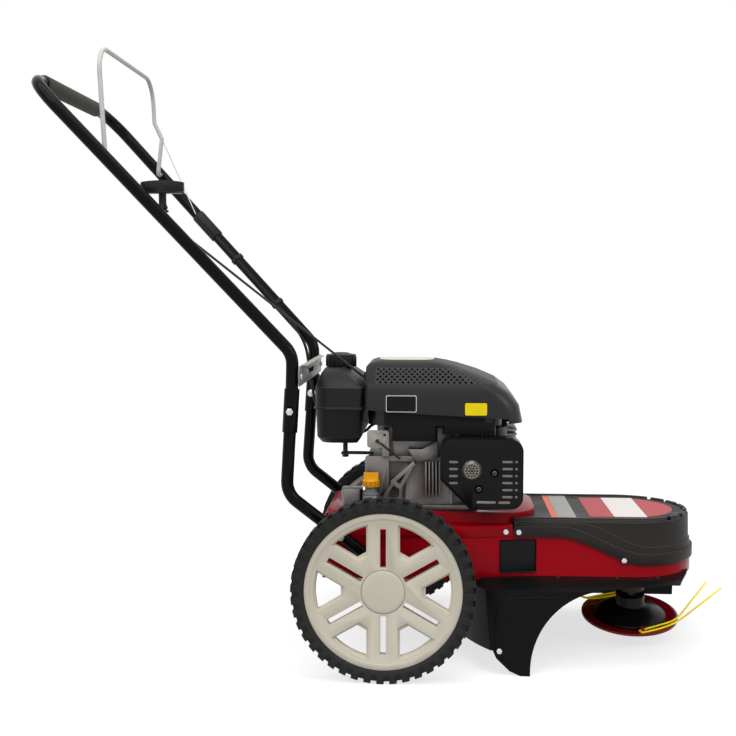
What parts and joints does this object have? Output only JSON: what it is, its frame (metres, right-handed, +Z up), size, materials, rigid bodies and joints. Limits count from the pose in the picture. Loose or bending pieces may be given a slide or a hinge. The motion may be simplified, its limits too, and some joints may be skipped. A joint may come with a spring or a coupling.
{
  "type": "wheeled string trimmer",
  "caption": "Walk-behind string trimmer: engine on a red deck with spoked wheels, debris shield, leaning head with lines, and a bent tube handle with a bail.",
  "frame": {"origin": "on the ground under the middle of the axle, which is also the middle of the overall box", "axes": "+X forward to the trimmer head, +Y to the operator's left, +Z up"},
  "size_m": [1.4027, 0.603, 1.2347],
  "materials": {
    "red_paint": "gloss powder coat",
    "black_paint": "gloss black paint",
    "pale_paint": "pale grey paint",
    "grey_paint": "light grey paint",
    "zinc_steel": "zinc plated",
    "dark_steel": "heat-dulled steel",
    "casting": "as cast",
    "black_plastic": "fine grain",
    "cover_plastic": "moulded, fine grain",
    "cream_plastic": "moulded, smooth",
    "red_plastic": "moulded",
    "yellow_plastic": "moulded",
    "line_nylon": "drawn nylon",
    "tyre_rubber": "tread rubber",
    "belt_rubber": "matt rubber",
    "foam": "soft foam",
    "ceramic": "glazed"
  },
  "bodies": {
    "chassis": {"deck": "red_paint", "engine_deck": "red_paint", "belt_cover": "cover_plastic", "deck_bolts": "zinc_steel", "debris_shield": "black_plastic", "shield_fasteners": "zinc_steel", "axle": "zinc_steel", "axle_brackets": "red_paint", "axle_retainers": "zinc_steel", "lower_handle_right": "black_paint", "lower_handle_left": "black_paint", "upper_handle": "black_paint", "handle_grip": "foam", "handle_bolts": "zinc_steel", "cross_brace": "grey_paint", "rope_guide": "zinc_steel", "cable_clips": "black_plastic", "bail_cable": "black_plastic", "bail_wire": "zinc_steel", "rope_tail": "black_plastic", "starter_rope": "black_plastic", "crankcase": "casting", "cylinder_block": "casting", "cylinder_head": "casting", "spark_plug": "ceramic", "muffler": "dark_steel", "muffler_guard": "black_paint", "blower_shroud": "black_plastic", "shroud_inset": "grey_paint", "engine_screws": "zinc_steel", "fuel_tank": "black_plastic", "tank_stay": "zinc_steel", "air_filter_box": "black_plastic", "carburettor": "casting", "control_bracket": "zinc_steel", "oil_filler_tube": "black_plastic", "engine_bolts": "zinc_steel", "drive_belt": "belt_rubber", "spindle_housing": "casting", "spindle_bearings": "zinc_steel"},
    "wheel_right": {"tyre_right": "tyre_rubber", "rim_right": "cream_plastic", "hub_cap_right": "cream_plastic"},
    "wheel_left": {"tyre_left": "tyre_rubber", "rim_left": "cream_plastic", "hub_cap_left": "cream_plastic"},
    "crank": {"crankshaft": "zinc_steel", "flywheel": "casting", "drive_pulley": "zinc_steel"},
    "head": {"spindle_shaft": "zinc_steel", "spindle_pulley": "zinc_steel", "head_hub": "black_plastic", "glide_disc": "red_plastic", "trimmer_lines": "line_nylon"},
    "bail": {"bail": "pale_paint"},
    "starter": {"starter_handle": "black_plastic"},
    "reel": {"starter_reel": "black_plastic"},
    "cap": {"fuel_cap": "black_plastic"},
    "oil_dipstick": {"dipstick": "yellow_plastic"}
  },
  "joints": [
    {"name": "wheel_right_spin", "type": "hinge", "parent": "chassis", "child": "wheel_right", "pos_m": [0, -0.2775, 0.178], "axis": [0, 1, 0], "continuous": true},
    {"name": "wheel_left_spin", "type": "hinge", "parent": "chassis", "child": "wheel_left", "pos_m": [0, 0.2775, 0.178], "axis": [0, 1, 0], "continuous": true},
    {"name": "crank_spin", "type": "hinge", "parent": "chassis", "child": "crank", "pos_m": [0.065, 0, 0.4], "axis": [0, 0, 1], "continuous": true},
    {"name": "head_spin", "type": "hinge", "parent": "chassis", "child": "head", "pos_m": [0.518, 0, 0.206], "axis": [0, -0.1736, 0.9848], "continuous": true},
    {"name": "bail_swing", "type": "hinge", "parent": "chassis", "child": "bail", "pos_m": [-0.55027, 0, 1.01908], "axis": [0, -1, 0], "range_deg": [0, 32], "stiffness_Nm_per_rad": 6, "springref_deg": -11.46, "deforming": ["bail_wire"]},
    {"name": "starter_pull", "type": "slide", "parent": "chassis", "child": "starter", "axis": [-0.6061, 0.1091, 0.7879], "range_m": [0, 0.45], "stiffness_N_per_m": 40, "springref_m": -0.15, "deforming": ["rope_tail"]},
    {"name": "reel_spin", "type": "hinge", "parent": "chassis", "child": "reel", "pos_m": [0.065, 0, 0.568], "axis": [0, 0, -1], "range_deg": [-5, 610]},
    {"name": "fuel_cap_turn", "type": "hinge", "parent": "chassis", "child": "cap", "pos_m": [-0.104, -0.015, 0.6], "axis": [0, 0, 1], "range_deg": [0, 120]},
    {"name": "dipstick_pull", "type": "slide", "parent": "chassis", "child": "oil_dipstick", "axis": [0, 0, 1], "range_m": [0, 0.05]}
  ],
  "couplings": [
    {"joint": "head_spin", "follows": "crank_spin", "ratio": 0.84169},
    {"joint": "reel_spin", "follows": "starter_pull", "rad_per_m": 23.529}
  ]
}
